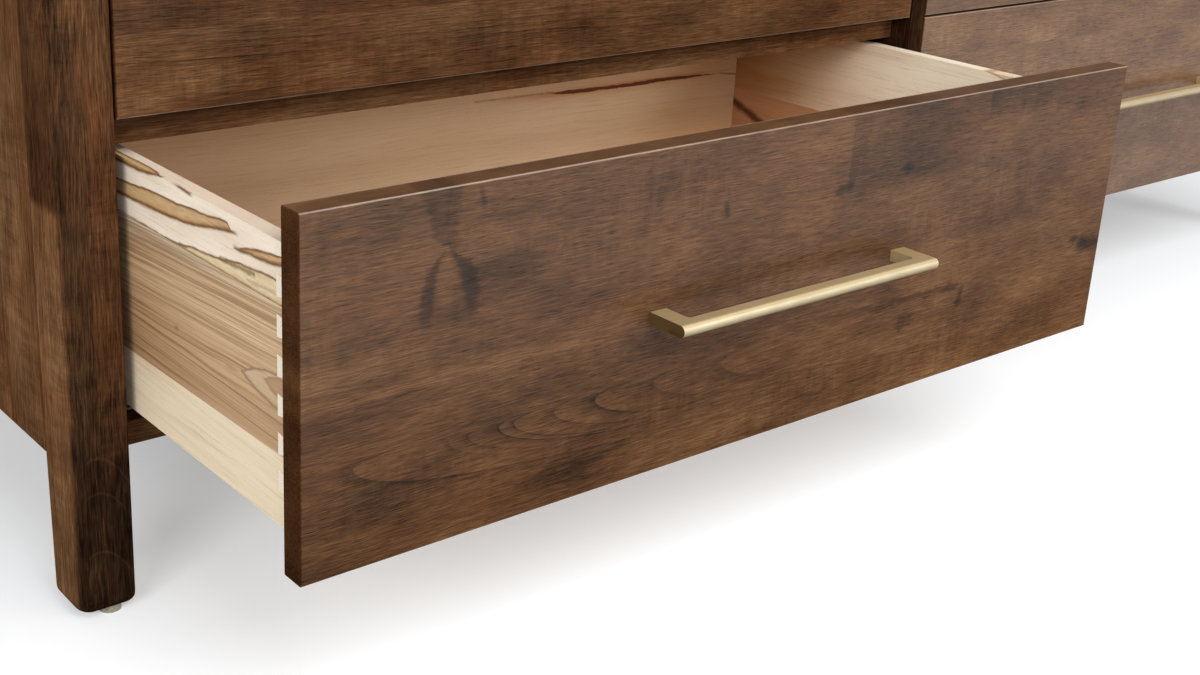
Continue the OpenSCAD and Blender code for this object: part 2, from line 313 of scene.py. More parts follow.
def stained(node, order, seed, shade=0.0, plank=400.0, joint=0.0, heart=(220.0, 40.0),
            taper=0.03, pitch=5.5, figure=1.0, wander=9.0, contrast=1.0, warmth=0.5, wear_and_highlight=0.0,
            sheen=0.0, veil=(-150.0, 90.0), rings=None, lines=None, marks=None):
    """Maple stained walnut brown: planks glued edge to edge, a slow blotch where the stain took
    more or less, curl across the grain, ring lines, dark veins, short dashes and fine fibres.
    Cut ends take the stain darker. Sharp edges are painted paler by the given share: partly
    rubbed wear, partly a painted highlight along the arris. A thin coat of lacquer, as strong
    as sheen says, grows across the board between the two places of veil, and lies on its long
    edges as well."""
    f = Finish(node)
    u, v, w = f.place(middle_of(node), order)
    half = halves_of(node, order)
    number = ((v + joint) / plank).whole() + seed * 7.0
    luck = f.chance(number)
    along = u + number * 713.0
    bent = v + f.cloud(along / 320, v / 110, w / 110, 1.0) * wander
    pith = heart(v) if callable(heart) else heart
    line = growth(f, u, bent, w, pith, taper, pitch, seed, rings)
    faint = lines(u, v) if lines else f.cloud(along / 170, v / 45, w / 45, 1.0).rise(-0.15, 0.2)
    wavy = bent + f.cloud(along / 22, v / 9, w / 9, 1.0) * 1.8
    blotch = f.cloud(along / 85, v / 38, w / 38, 4.0, 0.55)
    patchy = f.cloud(along / 120 + 9.0, v / 60, w / 60, 1.0).rise(-0.1, 0.2)
    curl = f.cloud(along / 12, v / 70, w / 70 + 7.0, 4.5, 0.8) * patchy
    vein = f.cloud(along / 80, wavy / 3.0, w / 3.0, 2.0, 0.6)
    fibre = f.cloud(along / 24, wavy / 0.95, w / 0.95, 3.0, 0.8)
    dash = f.cloud(along / 10, wavy / 0.8, w / 0.8, 1.0).rise(0.1, 0.22)
    value = (
        shade + STAIN + (blotch * BLOTCH + curl * CURL * figure + vein * VEIN) * contrast
        + fibre * FIBRE + luck * LUCK - dash * DASH - line * faint * LINE * figure
    )
    if marks:
        value = marks(f, u, v, w, value)
    colour = f.ramp(value, *STAIN_TONES)
    warm = f.cloud(along / 120 + 40.0, v / 40, w / 40, 5.0, 0.68).rise(-0.14, 0.18)
    colour = f.blend(colour, tone(246, 206, 182), warm * warmth, "MULTIPLY")
    ends = abs(u).rise(half[0] - 0.9, half[0] - 0.2)
    colour = f.blend(colour, tone(206, 194, 184), ends, "MULTIPLY")
    # Paler arris: partly rubbed wear, partly a painted highlight along the edge.
    if wear_and_highlight:
        rim = abs(v).rise(half[1] - 1.1, half[1] - 0.4) * abs(w).rise(half[2] - 1.1, half[2] - 0.4)
        colour = f.blend(colour, tone(194, 174, 156), rim * (fibre + 0.6) * wear_and_highlight)
    rough = 0.40 + fibre * 0.14 + dash * 0.10 + blotch * 0.08
    height = fibre * 0.8 - dash * 0.7
    gloss = {"Specular IOR Level": 0.0}
    if sheen:
        edge = abs(v).rise(half[1] - 0.6, half[1] - 0.2) * 0.95
        coat = (sheen - dash * sheen * 0.4) * v.rise(*veil)
        gloss["Coat Weight"] = (1.0 - ends) * coat.most(edge)
        gloss["Coat Roughness"] = COAT_ROUGHNESS
        gloss["Coat IOR"] = COAT_IOR
    return f.done(colour, rough, height, 0.00012, **gloss)


# The open front's crotch, as two lines for each of its limbs: the distance from CROTCH_AT in
# from the front's left end, along the distance down from its top
CROTCH_AT, CROTCH_SPAN = 60.0, 100.0
CROTCH_LEFT = (
    ((0, 39), (36, 38), (40, 33), (46, 26), (53, 22), (60, 19.5), (70, 18), (100, 20)),
    ((0, 40), (36, 40), (42, 38), (50, 35), (60, 33), (70, 32), (100, 31)),
)
CROTCH_RIGHT = (
    ((0, 37), (39, 39), (45, 41), (53, 45), (60, 47), (70, 50), (80, 52), (100, 53)),
    ((0, 44), (39, 46), (47, 58), (55, 63), (65, 65), (75, 64), (100, 63)),
)
CROTCH_OVER = (
    ((0, 17), (12, 21), (20, 24), (30, 27), (34, 33), (38, 40), (100, 40)),
    ((0, 50), (20, 49), (35, 47), (100, 46)),
)
# Dark spots of the open front (middle, size, raggedness, strength), from the left to the right:
# at the low left corner, round the crotch, beside it, low left, and the knots
FRONT_SPOTS = (
    ((-385.0, -112.0), (70.0, 26.0), 1.0, 0.12),
    ((-289.0, 48.0), (34.0, 32.0), 0.8, 0.10),
    ((-250.0, 96.0), (40.0, 14.0), 0.9, 0.08),
    ((-246.0, 60.0), (50.0, 16.0), 0.9, 0.17),
    ((-186.0, -93.0), (46.0, 12.0), 1.6, 0.12),
    ((121.0, 66.0), (9.0, 6.0), 1.2, 0.18),
    ((139.0, -58.0), (14.0, 8.0), 1.6, 0.24),
    ((352.0, -29.0), (9.0, 6.0), 1.0, 0.24),
)
# Its short dark ticks (start, end, width, raggedness, strength), from the left to the right
FRONT_TICKS = (
    ((-269.0, 109.0), (-267.0, 100.0), 3.5, 0.6, 0.16),
    ((-65.0, 67.0), (-63.0, 60.0), 4.0, 0.6, 0.20),
    ((46.0, 59.0), (60.0, 62.0), 4.5, 1.4, 0.22),
    ((206.0, -46.0), (204.0, -56.0), 5.0, 1.2, 0.20),
    ((366.0, -34.0), (392.0, -37.0), 11.0, 0.9, 0.34),
)


def open_front_heart(v):
    """Pith of the open drawer's two planks: far above in the upper one. In the lower one it lies
    behind the face, 47 mm under the middle, where the rings run out as arches that close quickly
    at their upper side."""
    low = v.rise(-2.0, -6.0)
    under = -47.0 - v
    deep = (under - 16.0).most(0.0)
    apart = under.most(0.0) + deep * deep * 0.03 + (-under).most(0.0) * 3.0
    return low * (v + apart - 300.0) + 300.0, low * -89.5 + 40.0


def open_front_rings(f, reach, v, count):
    """Rings of the open drawer's lower plank: close and far ones in turn along the board."""
    tenths = ((0, 0), (40, 5), (46, 10), (52.6, 20), (58, 30), (61.6, 40), (65, 50), (66.2, 60),
              (68.7, 70), (70.2, 80), (77.4, 90), (100, 95))
    low = v.rise(-2.0, -6.0)
    return low * (f.curve(reach, tenths, 100.0) / 10.0 - count) + count


def open_front_lines(u, v):
    """Where the open drawer's ring lines show: clear at the left under the arches' middle."""
    clear = u.rise(-100.0, -190.0) * 0.8 + 0.35
    return 0.22 + v.rise(-38.0, -46.0) * 1.3 * clear - v.rise(-84.0, -108.0) * 0.5 * clear


def open_front_marks(f, u, v, w, value):
    """The open drawer's own figure: a dark crotch at the left, short dark ticks, a long streak
    under the pull, a dark knot at the right edge, and paler and darker fields between them. Its
    top face is painted paler as a painted sheen."""
    ragged = u + f.cloud(u / 7, v / 3, 0.0, 4.0, 0.7) * 9.0
    x, z = ragged + (FRONT_HALF[0] - CROTCH_AT), FRONT_HALF[1] - v
    crotch = between(f, z, x, *CROTCH_LEFT, CROTCH_SPAN, 5.0) * z.rise(92.0, 80.0)
    right = between(f, z, x, *CROTCH_RIGHT, CROTCH_SPAN, 6.0) * z.rise(92.0, 70.0)
    over = between(f, z, x, *CROTCH_OVER, CROTCH_SPAN, 6.0) * z.rise(47.0, 40.0)
    dark = crotch.most(right) * (z.rise(82.0, 50.0) * 0.12 + 0.14) + over * 0.15
    for at, size, rough, strength in FRONT_SPOTS:
        dark = dark + spot(f, u, v, at, size, rough) * strength
    for start, end, width, rough, strength in FRONT_TICKS:
        dark = dark + stroke(f, u, v, start, end, width, rough) * strength
    bent = v + f.cloud(u / 34, v / 30, 4.0, 2.0) * 9.0
    under = stroke(f, u, bent, (-30.0, -38.0), (198.0, -40.0), 5.0, 1.6)
    dark = dark + under * u.rise(-30.0, 150.0) * 0.20
    first = ragged.rise(55.0, 58.5) * v.rise(50.0, 62.0) * u.rise(260.0, 110.0)
    second = ragged.rise(211.0, 214.0) * v.rise(88.0, 98.0) * u.rise(330.0, 235.0)
    light = v.rise(2.0, 11.0) * v.rise(30.0, 16.0) * u.rise(-275.0, -350.0) * 0.18
    # Top face painted paler: a painted sheen.
    light = light + v.rise(112.6, 113.8) * 0.10
    light = light + spot(f, u, v, (-292.0, 50.0), (9.0, 24.0), 0.3) * 0.07
    light = light + spot(f, u, v, (25.0, 58.0), (42.0, 60.0), 0.4) * 0.07
    light = light - v.rise(-10.0, 10.0) * 0.11 - u.rise(60.0, 260.0) * 0.01
    lower = v.rise(-4.0, -12.0) * u.rise(60.0, -160.0) * 0.08
    return value + light - dark - first * 0.12 - second * 0.14 - lower


def front_post_marks(f, u, v, w, value):
    """A front post is darkest at its foot, its rounded corner is painted darker than its outer
    side as painted shade, and a dark piece is let in high on that side. Three pale arches cross
    the front of the leg."""
    ragged = u + f.cloud(u / 30, v / 6, w / 6, 2.0) * 30.0
    arch = u + (v + 4.0) * (v + 4.0) * 0.042 + f.cloud(u / 9, v / 5, 0.0, 2.0) * 4.0
    arches = arch.hill(-358.5, 1.6).most(arch.hill(-313.5, 1.6)).most(arch.hill(-287.5, 2.2))
    arches = arches * w.rise(-18.0, -21.0) * v.rise(-14.0, -9.0)
    foot = ragged.rise(-215.0, -330.0) * w.rise(-14.0, -20.0)
    let_in = u.rise(-117.0, -108.0) * v.rise(-9.0, -17.0)
    streak = f.cloud(u / 260, v / 5, w / 5, 2.0).rise(0.0, 0.2) * 0.10
    # Darker along the rounded outer corner, more so low on the leg: painted shade.
    painted_corner_shade = (v + w).rise(-26.0, -36.0)
    corner = painted_corner_shade * u.rise(-200.0, -320.0)
    # The foot and the let-in piece are darker wood; the corner's share is painted shade.
    dim = foot * 0.14 + let_in * 0.09 + corner * (0.03 + streak * 0.8)
    side = v.rise(-16.0, -20.5) * (u.rise(-108.0, -117.0) * 0.25 + 0.12)
    return value - 0.06 - dim - painted_corner_shade * 0.05 + side + streak * 0.6 + arches * 0.13


def fibres(f, u, v, w):
    """Fine lines along the grain of bare wood, as a value about zero."""
    return f.cloud(u / 45, v, w, 3.0, 0.6) + f.cloud(u / 3.0, v / 0.6, w / 0.6) * 0.35


def bare(f, colour, fine):
    """Ends a bare, lightly sealed wood."""
    colour = f.blend(colour, tone(206, 178, 146), fine.rise(0.02, -0.30) * 0.5, "MULTIPLY")
    return f.done(colour, 0.52 + fine * 0.2, fine, 0.00008, **{"Specular IOR Level": 0.2})


# Tones of bare maple: the clear wood, its warm rings, heartwood and the lines of spalting
CREAM = tone(230, 215, 192)
BISCUIT = tone(216, 190, 156)
TAN = tone(188, 152, 108)
BARK = tone(96, 52, 10)
# Clear maple: width of a plank, place of its pith, taper of its rings and their distance
PALE_PLANK, PALE_HEART, PALE_TAPER, PALE_PITCH = 88.0, (160.0, 30.0), 0.02, 4.2


def pale_maple(node, order, seed, warm=0.0, pins=0.0, patches=1.0, marks=None):
    """Clear maple: cream planks, warm rings, and now and then a tan patch of heartwood with the
    thin dark outline that spalting leaves. The outer ends, as wide as pins says, show end grain:
    paler, and speckled where the fibres are cut."""
    f = Finish(node)
    u, v, w = f.place(middle_of(node), order)
    number = (v / PALE_PLANK).whole() + seed * 5.0
    along = u + number * 517.0
    bent = v + f.cloud(along / 260, v / 90, w / 90, 1.0) * 12.0
    line = growth(f, u, bent, w, PALE_HEART, PALE_TAPER, PALE_PITCH, seed)
    fine = fibres(f, along, bent, w)
    field = f.cloud(along / 330, bent / 34, w / 34, 2.0) + f.chance(number) * 0.34
    warmth = f.cloud(along / 180, v / 50, w / 50, 2.0) * 0.9 + line * 0.14 + 0.5
    colour = f.blend(CREAM, BISCUIT, warmth.rise(0.1, 1.0))
    colour = f.blend(colour, TAN, field.rise(0.145, 0.165) * 0.75 * patches)
    colour = f.blend(colour, BARK, field.hill(0.150, 0.010) * 0.55 * patches)
    if warm:
        colour = f.blend(colour, tone(214, 170, 128), warm + line * 0.12)
    if marks:
        colour = marks(f, u, v, colour)
    if pins:
        half = halves_of(node, order)
        speckle = f.cloud(u / 0.5, v / 0.5, w / 0.35, 1.0)
        grain = f.blend(tone(238, 228, 210), tone(216, 198, 172), speckle.rise(-0.1, 0.2))
        colour = f.blend(colour, grain, abs(u).rise(half[0] - pins, half[0] - pins + 0.1))
    return bare(f, colour, fine)


# Lines along a box's side reach over SPAN, and are raised by LIFT so that none lies under zero
SPAN, LIFT = 500.0, 10.0


def enclosed(f, a, d, over, under, colour, inside, rim, bold=1.0):
    """A figure in the wood between two lines along the board, with a thin dark rim.
    a is the distance along the board and d the distance down from its top edge."""
    lifted = [tuple((x, y + LIFT) for x, y in line) for line in (over, under)]
    top, bottom = f.curve(a, lifted[0], SPAN) - LIFT, f.curve(a, lifted[1], SPAN) - LIFT
    there = (bottom - top).rise(-0.2, 0.5)
    within = (d - top).rise(-0.2, 0.4) * (bottom - d).rise(-0.2, 0.4) * there
    line = (d - top).hill(0.4, 1.5).most((d - bottom).hill(-0.6, 2.4)) * there
    depth = f.cloud(a / 14, d / 1.3, 3.0, 3.0, 0.65) * 1.8 + 0.5
    lowest = (bottom - d).rise(5.0, 0.0).most((d - top).rise(3.0, 0.0)) * 0.5
    colour = f.blend(colour, f.blend(inside[1], inside[0], lowest - depth + 1.0), within * 0.92)
    return f.blend(colour, rim, line * bold * (depth * 0.6 + 0.5))


# Spalted streaks of the top plank: upper line, lower line and the two tones between them
GOLD = (tone(166, 124, 72), tone(208, 176, 128))
OLIVE = (tone(194, 166, 118), tone(226, 210, 178))
STREAKS = (
    (((0, 9), (62, 10), (71, 9), (73.5, 6), (80, 5.5), (100, 8), (120, 9), (140, 11), (160, 11.5),
      (180, 12.5), (200, 14.5), (330, 21), (412, 26)),
     ((0, 9), (62, 10), (75, 11.5), (90, 14), (110, 18), (125, 20.5), (140, 22), (160, 23.5),
      (200, 25.5), (412, 36)), GOLD),
    (((0, 7.5), (13, 8.5), (20, 9.5), (30, 11), (40, 12.5), (50, 14.5), (60, 17.5), (68, 19.2),
      (412, 30)),
     ((0, 12.5), (13, 14.5), (20, 16), (30, 17), (40, 18), (50, 18.3), (60, 19.4), (68, 19.2),
      (412, 28)), GOLD),
    (((0, 25), (13, 24.5), (20, 24), (30, 24), (50, 26), (60, 26.5), (70, 28), (80, 30),
      (100, 32.5), (120, 34), (134, 36.5), (150, 37.6), (200, 38.2), (412, 39)),
     ((0, 39.5), (412, 39.6)), OLIVE),
    (((0, -3), (160, -1), (175, -4), (226, -4), (412, -3)),
     ((0, -5), (160, -1), (172, 1), (183, 2.6), (226, 4), (412, 8)), GOLD),
    (((0, -2), (118, 1), (126, -0.2), (145, -0.8), (412, -4)),
     ((0, -4), (118, 1), (130, 0.5), (140, -0.5), (412, -6)), GOLD),
)
# The brown plank's arch and the darker figure within it
ARCH = (((0, 79), (13, 81.5), (25, 83), (40, 86), (52, 90.5), (61, 95), (412, 120)),
        ((0, 105), (13, 104.3), (22, 104), (35, 102.5), (45, 100.5), (55, 97.5), (61, 95.2),
         (412, 90)))
ARCH_HEART = (((0, 81), (13, 83.5), (22, 85), (30, 88), (34, 90), (412, 120)),
              ((0, 98), (13, 97), (22, 96), (30, 92.5), (34, 90.2), (412, 80)))
# Dark lines of the brown plank: distance down, half their width, strength
BROWN_LINES = ((59.5, 0.8, 0.45), (66.0, 0.6, 0.25), (70.5, 1.0, 0.6), (81.8, 0.9, 0.85),
               (108.5, 0.8, 0.3), (114.0, 0.8, 0.6), (117.2, 0.6, 0.35), (124.6, 0.9, 0.5),
               (129.2, 0.8, 0.35))
# Its tones, by the distance down as a share of TONE_SPAN
TONE_SPAN = 200.0
BROWN_TONES = (
    (0.19, tone(222, 205, 176)),
    (0.245, tone(208, 184, 150)),
    (0.28, tone(196, 165, 126)),
    (0.38, tone(206, 175, 136)),
    (0.44, tone(192, 159, 121)),
    (0.52, tone(193, 159, 121)),
    (0.58, tone(184, 149, 112)),
    (0.67, tone(182, 148, 112)),
)
# How far down the top plank ends, and the brown one at the front
TOP_PLANK, BROWN_PLANK = 38.6, 132.0


def brown_plank(f, a, d, w):
    """Striped brown plank: its rings lie nearly straight, lean upwards to the front in its upper
    half, and open only at the front in one small pale arch."""
    lean = (200.0 - a) * d.rise(112.0, 92.0) * 0.053
    down = d + lean + f.cloud(a / 60, d / 20, w / 30, 1.0) * 1.6
    stripe = f.cloud(a / 300, down / 2.0, w / 2.0, 3.0, 0.6)
    colour = f.ramp(down / TONE_SPAN, *BROWN_TONES)
    pale = stripe.rise(0.0, 0.25) * down.rise(112.0, 50.0) * 0.6
    colour = f.blend(colour, tone(222, 204, 172), pale)
    dark = stripe.rise(0.05, -0.13) * 0.66
    hair = f.cloud(a / 140, down / 0.8, w / 0.8, 2.0, 0.6).rise(0.04, -0.2)
    dark = dark.most(hair * (down.rise(96.0, 70.0) * 0.4 + 0.35))
    uneven = f.cloud(a / 45, down / 4, w / 4, 2.0) + 0.65
    for place, width, strength in BROWN_LINES:
        dark = dark.most(down.hill(place, width) * uneven * strength)
    dark = dark.most(spot(f, a, d, (145.0, 96.0), (6.0, 2.4), 1.2) * 0.7)
    dark = dark.most(spot(f, a, d, (73.0, 97.0), (14.0, 3.0), 0.9) * 0.35)
    colour = f.blend(colour, tone(124, 88, 54), dark)
    ragged = d + f.cloud(a / 7, d / 5, 5.0, 3.0, 0.6) * 2.2
    fill = (tone(184, 156, 122), tone(200, 174, 142))
    colour = enclosed(f, a, ragged, *ARCH, colour, fill, tone(126, 98, 70), 0.9)
    fill = (tone(160, 126, 92), tone(176, 142, 108))
    colour = enclosed(f, a, ragged, *ARCH_HEART, colour, fill, tone(146, 110, 76), 0.5)
    return f.blend(colour, tone(176, 144, 114), a.rise(60.0, 210.0) * 0.30, "MULTIPLY")


def left_side_colour(f, a, d, w):
    """Outer side of the open drawer: a spalted plank over a striped brown one over a pale one."""
    ragged = d + f.cloud(a / 9, d / 4, w / 9, 3.0, 0.6) * 1.8
    blush = f.cloud(a / 70, d / 14, w / 30, 2.0)
    top = f.blend(tone(222, 203, 180), tone(236, 222, 203), (blush + 0.5).rise(0.2, 0.7))
    top = f.blend(top, tone(216, 196, 176), d.rise(-0.3, -1.0) * (blush * 0.6 + 0.75))
    for over, under, inside in STREAKS:
        top = enclosed(f, a, ragged, over, under, top, inside, BARK)
    torn = ragged + f.cloud(a / 12, d / 3, 9.0, 3.0, 0.7) * 3.5
    smudge = stroke(f, a, torn, (44.0, 28.5), (84.0, 31.0), 2.8, 0.9)
    smudge = smudge.most(stroke(f, a, torn, (20.0, 32.5), (52.0, 34.5), 1.6, 0.8) * 0.5)
    smudge = smudge.most(stroke(f, a, torn, (128.0, 36.5), (138.0, 37.0), 1.6, 0.9))
    top = f.blend(top, tone(118, 92, 48), smudge * 0.8)
    streaky = f.cloud(a / 160, d / 5, w / 30, 3.0, 0.55)
    pale = f.blend(tone(226, 208, 179), tone(208, 184, 150), (streaky * 1.3 + 0.30).rise(0.1, 0.9))
    colour = f.blend(top, brown_plank(f, a, d, w), (d - TOP_PLANK).rise(-0.2, 0.2))
    lowest = d - (a * 0.015 + BROWN_PLANK)
    colour = f.blend(colour, pale, lowest.rise(-0.2, 0.2))
    seam = lowest.hill(0.0, 0.6) * 0.35
    return f.blend(colour, tone(150, 120, 88), seam)


# How far down the other board's plank of heartwood starts
HEART_TOP = 75.0


def right_side_colour(f, a, d, w, red):
    """The other side board: clear maple painted bright cream at the front and darker tan towards
    the back, as painted light and shade, with a thin arc near the front, over a plank of
    heartwood, as red-brown as red says, with one dark streak."""
    blush = f.cloud(a / 120, d / 18, w / 30, 2.0)
    grain = f.cloud(a / 300, d / 5, w / 5, 2.0)
    # Painted light and shade: bright cream near the front end, darkening to tan towards the back.
    clear = f.blend(tone(248, 236, 214), tone(162, 117, 74), a.rise(130.0, 390.0) + blush * 0.4)
    clear = f.blend(clear, tone(188, 146, 104), grain.rise(0.05, 0.3) * 0.4)
    heart = f.blend(tone(164, 116, 82), tone(186, 138, 102), blush + 0.5 + grain * 0.5)
    dark = stroke(f, a, d, (352.0, 106.0), (420.0, 82.0), 7.0, 0.5)
    heart = f.blend(heart, tone(88, 54, 24), dark)
    heart = f.blend(tone(206, 176, 138), heart, red)
    bow = ((0, 22), (60, 19), (80, 14), (100, 10), (140, 6), (412, 5))
    arc = d - f.curve(a, bow, SPAN) + LIFT
    clear = f.blend(clear, tone(176, 124, 70), arc.hill(0.0, 1.4) * 0.8)
    clear = f.blend(clear, tone(210, 180, 140), arc.rise(0.0, -0.6) * 0.5)
    return f.blend(clear, heart, (d - HEART_TOP).rise(-0.2, 0.2))


def side_boards(node, seed, flip=0, shift=0.0, red=1.0):
    """Both side boards of a box. a runs from the box's front end back, d down from its top edge
    and on over that edge, so that a figure wraps round it. With flip, a drawer takes such planks
    turned end for end (1), with its lower edge up (2) or both (3), and with shift from further
    along."""
    f = Finish(node)
    low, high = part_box(node)
    x, y, z = f.place((middle_of(node).x, low.y, high.z), "xyz")
    deep, tall, half = (high.y - low.y) / MM, (high.z - low.z) / MM, (high.x - low.x) / 2 / MM
    a = (deep - y if flip in (1, 3) else y) + shift
    d = z + tall if flip in (2, 3) else z * -1.0
    inward = half - abs(x)
    fine = fibres(f, y + seed * 90.0, z, x)
    left = left_side_colour(f, a, d - inward, x * 0.05)
    right = right_side_colour(f, a, d, x * 0.05, red)
    colour = f.blend(left, right, x.above(0.0))
    return bare(f, colour, fine)


# Bark streak of the open box's back board: its upper and lower line
BACK_SPAN = 800.0
BACK_STREAK = (
    ((0, 60), (500, 53), (540, 53.2), (600, 54.5), (650, 54), (735, 57.5), (800, 60)),
    ((0, 58), (500, 53), (540, 57.5), (580, 58), (660, 58.5), (735, 58.2), (800, 58)),
)


def open_back_marks(f, u, v, colour):
    """The open box's back board: one long thin bark streak near its top, at the right, in wood
    that is redder round it and warmer below it."""
    x, z = u + BACK_HALF[0], BACK_HALF[1] - v
    ragged = z + f.cloud(u / 16, v / 5, 0.0, 3.0, 0.6) * 3.0
    streak = between(f, x, ragged, *BACK_STREAK, BACK_SPAN, 0.6)
    tail = stroke(f, u, v, (40.0, 37.5), (130.0, 36.5), 1.6, 1.3) * 0.45
    tail = tail.most(stroke(f, u, v, (350.0, 31.5), (376.0, 28.0), 1.6, 1.0) * 0.6)
    glow = spot(f, u, v, (215.0, 34.0), (190.0, 9.0), 0.8)
    near = spot(f, u, v, (215.0, 34.0), (180.0, 4.0), 0.6)
    colour = f.blend(colour, tone(214, 150, 92), glow * 0.40)
    colour = f.blend(colour, tone(180, 106, 58), near * 0.5)
    colour = f.blend(colour, tone(214, 168, 118), u.rise(150.0, 330.0) * v.rise(28.0, -60.0) * 0.6)
    return f.blend(colour, tone(92, 48, 24), streak.most(tail) * 0.95)


def ply(f, colour, across, edge):
    """Plies on the edges of a thin board: stripes across its thickness, where edge is 1."""
    stripe = (across / 2.4).part().rise(0.45, 0.55)
    layer = f.blend(tone(206, 178, 140), tone(150, 116, 82), stripe)
    return f.blend(colour, layer, edge)


# Plywood: width of a veneer leaf, and how far apart and in from the rim its screws are
LEAF, SCREW_GAP, SCREW_RIM = 230.0, 186.0, 12.0


def veneered(node, order, seed, fixed=False):
    """Thin plywood with a sliced maple veneer: wide leaves laid side by side, ply at the edges.
    A fixed one shows painted screw heads sunk in a row along its rim, their cross recess painted
    dark as painted shade, in a darker ring."""
    f = Finish(node)
    u, v, w = f.place(middle_of(node), order)
    half = halves_of(node, order)
    leaf = (v / LEAF).whole() + seed * 3.0
    across = v - leaf * LEAF
    bent = across + f.cloud(u / 240, leaf, seed, 1.0) * 30.0
    line = growth(f, u, bent, w, (LEAF * 0.5, 46.0), 0.05, 6.5, seed)
    fine = fibres(f, u + leaf * 300.0, bent, w)
    blush = (f.cloud(u / 260, v / 60, seed, 3.0) + line * 0.35 + 0.45).rise(0.1, 1.0)
    colour = f.blend(tone(222, 194, 160), tone(196, 158, 116), blush)
    colour = f.blend(colour, tone(168, 126, 86), line * 0.25)
    colour = f.blend(colour, tone(150, 116, 82), (v / LEAF).part().hill(0.0, 0.0035) * 0.6)
    edge = abs(v).rise(half[1] - 0.3, half[1] - 0.1)
    edge = edge.most(abs(u).rise(half[0] - 0.3, half[0] - 0.1))
    colour = ply(f, colour, w, edge)
    if fixed:
        step_u, step_v = (((at / SCREW_GAP).part() - 0.5) * SCREW_GAP for at in (u, v))
        rim_u, rim_v = abs(u) - (half[0] - SCREW_RIM), abs(v) - (half[1] - SCREW_RIM)
        away = (step_v * step_v + rim_u * rim_u).least(step_u * step_u + rim_v * rim_v).root()
        # Painted screw heads: the cross recess is painted dark as painted shade.
        cross = abs(step_v * rim_u).least(abs(step_u * rim_v)).rise(1.0, 0.5) * away.rise(2.6, 2.2)
        head = f.blend(tone(150, 148, 142), tone(60, 58, 54), cross)
        colour = f.blend(colour, tone(96, 78, 58), away.rise(5.0, 4.2) * 0.7)
        colour = f.blend(colour, head, away.rise(4.0, 3.7))
    return bare(f, colour, fine)


def brushed_brass(node):
    """Satin brass: fine brush lines along the bar and along the feet. The bar's top and the feet
    are painted paler and more golden as a painted highlight; its underside is painted darker as
    painted shade, and the cut ends darker as a painted dark reflection."""
    f = Finish(node)
    u, v, w = f.place(middle_of(node), "xzy")
    half = halves_of(node, "xzy")
    feet = abs(u).rise(half[0] - 16.0, half[0] - 14.0) * w.rise(-4.0, -1.0)
    bar = f.cloud(u / 30, v / 0.25, w / 0.25, 3.0, 0.6)
    foot = f.cloud(u / 0.25, v / 0.25, w / 30, 3.0, 0.6)
    brush = bar + (foot - bar) * feet
    cloudy = f.cloud(u / 24, v / 9, w / 9, 2.0)
    ends = abs(u).rise(half[0] - 0.5, half[0] - 0.1)
    colour = f.blend(tone(182, 172, 146), tone(160, 146, 116), brush * 1.4 + cloudy + 0.5)
    # Feet painted paler and more golden: a painted highlight.
    colour = f.blend(colour, tone(222, 198, 146), feet * 0.7)
    # Underside of the bar painted darker: painted shade.
    colour = f.blend(colour, tone(108, 86, 50), v.rise(0.5, -3.6) * (1.0 - feet) * 0.85)
    # Top of the bar painted paler: a painted highlight.
    above = v.rise(half[1] - 1.2, half[1] - 0.3) * (1.0 - feet)
    colour = f.blend(colour, tone(240, 212, 158), above * 0.5)
    # Cut ends painted dark: a painted dark reflection.
    colour = f.blend(colour, tone(94, 68, 34), ends * 0.9)
    rough = 0.56 + brush * 0.18 + cloudy * 0.08 + ends * 0.1
    return f.done(colour, rough, brush, 0.00002, **{"Metallic": 1.0})


def zinc():
    """Zinc plated sheet: rolled lines along it, dull cloudy crystals and a faint yellow cast."""
    f = Finish("zinc")
    u, v, w = f.place((0.0, 0.0, 0.0), "yxz")
    rolled = f.cloud(u / 60, v / 0.6, w / 0.6, 3.0, 0.6)
    cell = f.vector(u / 7, v / 5, w / 5)
    crystal = f.node("TexVoronoi", {"feature": "F1"}, {"Vector": cell, "Scale": 1.0})
    cloudy = f.cloud(u / 40, v / 15, w / 15, 3.0)
    colour = f.blend(tone(176, 180, 184), tone(206, 205, 196), crystal * 0.6 + cloudy + 0.2)
    rough = 0.34 + crystal * 0.12 + rolled * 0.14 + cloudy * 0.1
    return f.done(colour, rough, rolled, 0.00003, **{"Metallic": 1.0})


def glide_plastic():
    """Moulded glides: grey-beige, with turned rings round each one's own middle and a scuffed
    rim. Their middles lie evenly about the footprint's, so two distances find all four."""
    f = Finish("glide_plastic")
    u, v, w = f.place(middle_of("glides"), "xyz")
    half = halves_of("glides", "xyz")
    du, dv = abs(u) - (half[0] - GLIDE_RADIUS), abs(v) - (half[1] - GLIDE_RADIUS)
    out = (du * du + dv * dv).root()
    turned = (out / 0.8).part().rise(0.0, 0.5)
    speck = f.cloud(u / 1.2, v / 1.2, w / 1.2, 3.0, 0.6)
    scuff = out.rise(GLIDE_RADIUS - 1.6, GLIDE_RADIUS) * speck.rise(-0.1, 0.2)
    colour = f.blend(tone(168, 158, 138), tone(134, 126, 110), speck + 0.5)
    colour = f.blend(colour, tone(96, 88, 76), scuff * 0.7)
    return f.done(colour, 0.42 + speck * 0.25 + scuff * 0.2, turned + speck, 0.00004)


